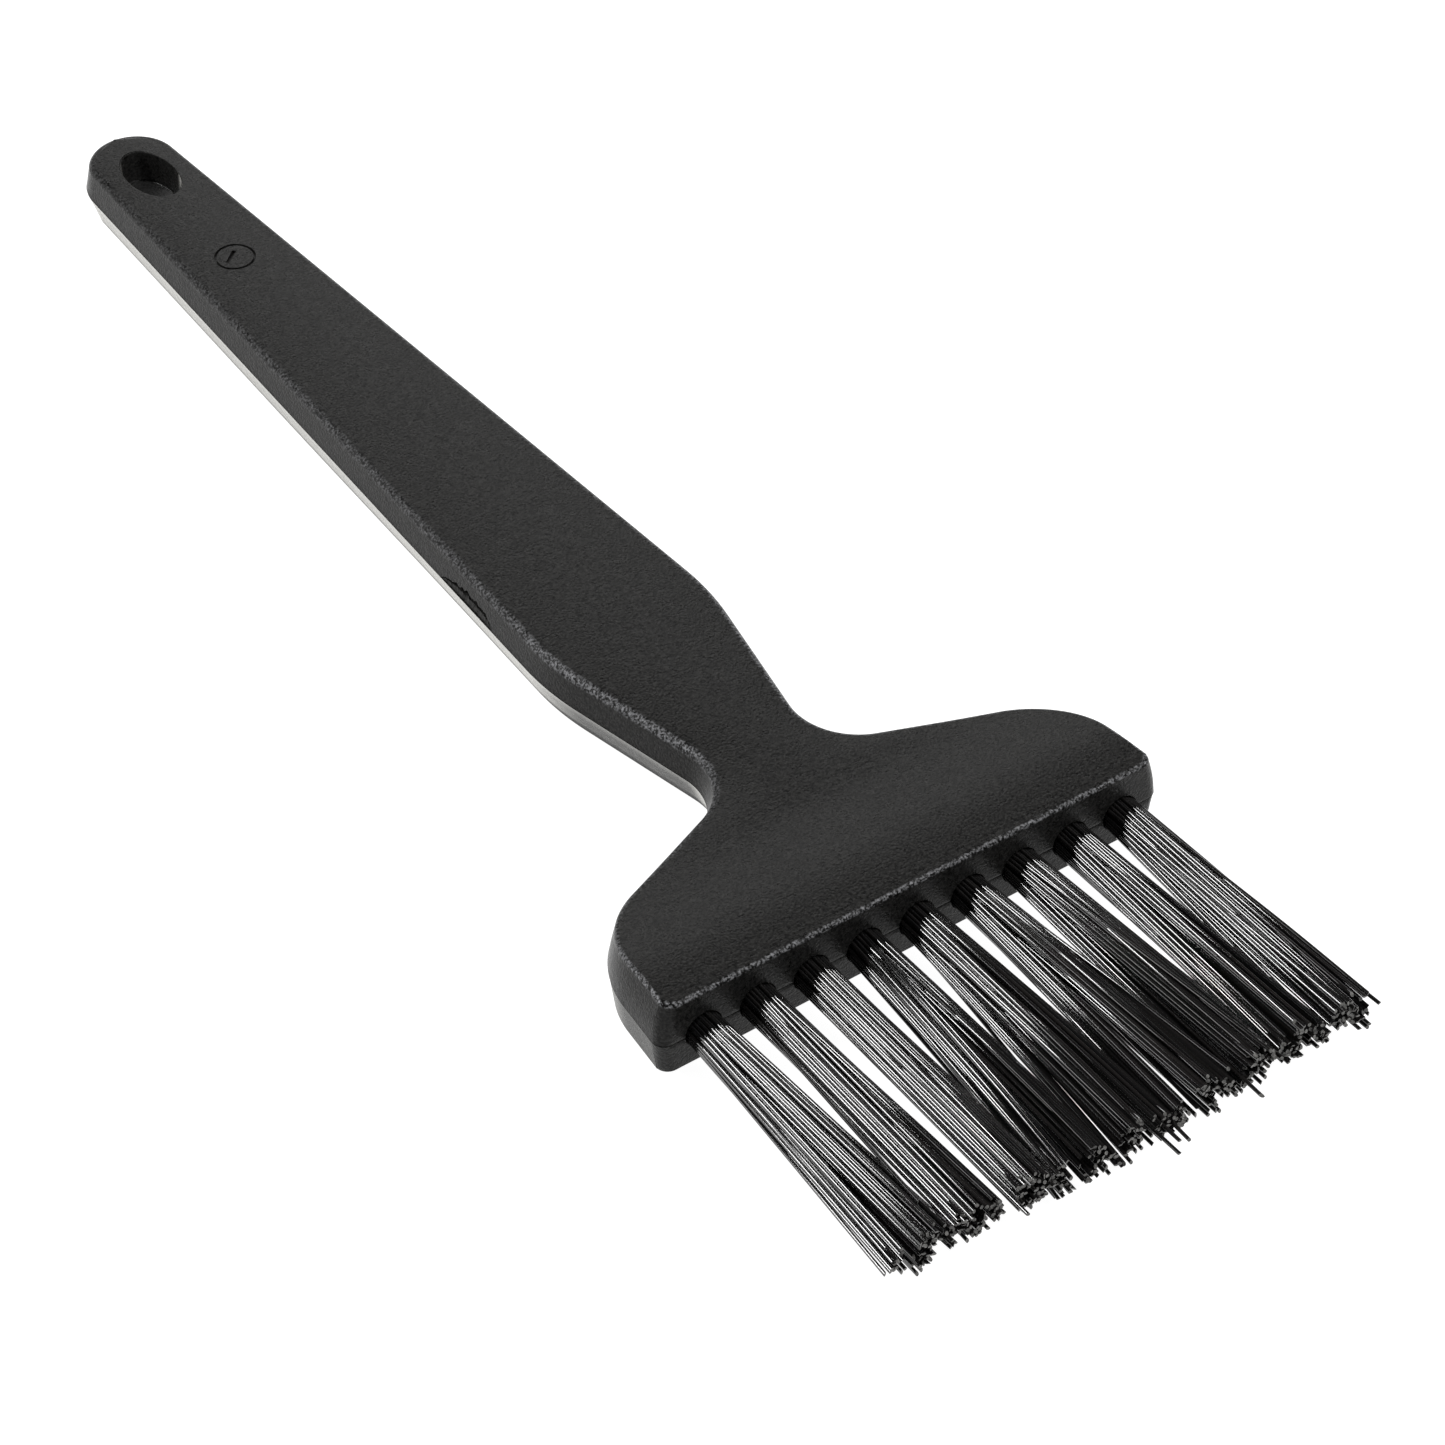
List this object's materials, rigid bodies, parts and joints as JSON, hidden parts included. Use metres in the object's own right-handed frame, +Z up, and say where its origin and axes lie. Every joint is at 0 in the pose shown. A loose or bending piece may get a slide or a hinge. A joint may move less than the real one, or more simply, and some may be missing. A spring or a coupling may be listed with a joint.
{
  "type": "flat antistatic brush",
  "caption": "Flat hand brush: a black moulded handle with a hanging hole, and a row of fanned black filament tufts.",
  "frame": {"origin": "under the middle of the whole brush, on the plane it lies on", "axes": "+Y along the handle away from the filaments, +X across the head, +Z up from the resting face"},
  "size_m": [0.0672, 0.2066, 0.01],
  "materials": {
    "handle_plastic": "spark-eroded matt black moulding",
    "filament": "glossy black nylon filament",
    "anchor_wire": "galvanised flat wire"
  },
  "bodies": {
    "root": {"handle_body": "handle_plastic", "tuft_1": "filament", "tuft_2": "filament", "tuft_3": "filament", "tuft_4": "filament", "tuft_5": "filament", "tuft_6": "filament", "tuft_7": "filament", "tuft_8": "filament", "tuft_9": "filament", "anchor_1": "anchor_wire", "anchor_2": "anchor_wire", "anchor_3": "anchor_wire", "anchor_4": "anchor_wire", "anchor_5": "anchor_wire", "anchor_6": "anchor_wire", "anchor_7": "anchor_wire", "anchor_8": "anchor_wire", "anchor_9": "anchor_wire"}
  },
  "joints": []
}
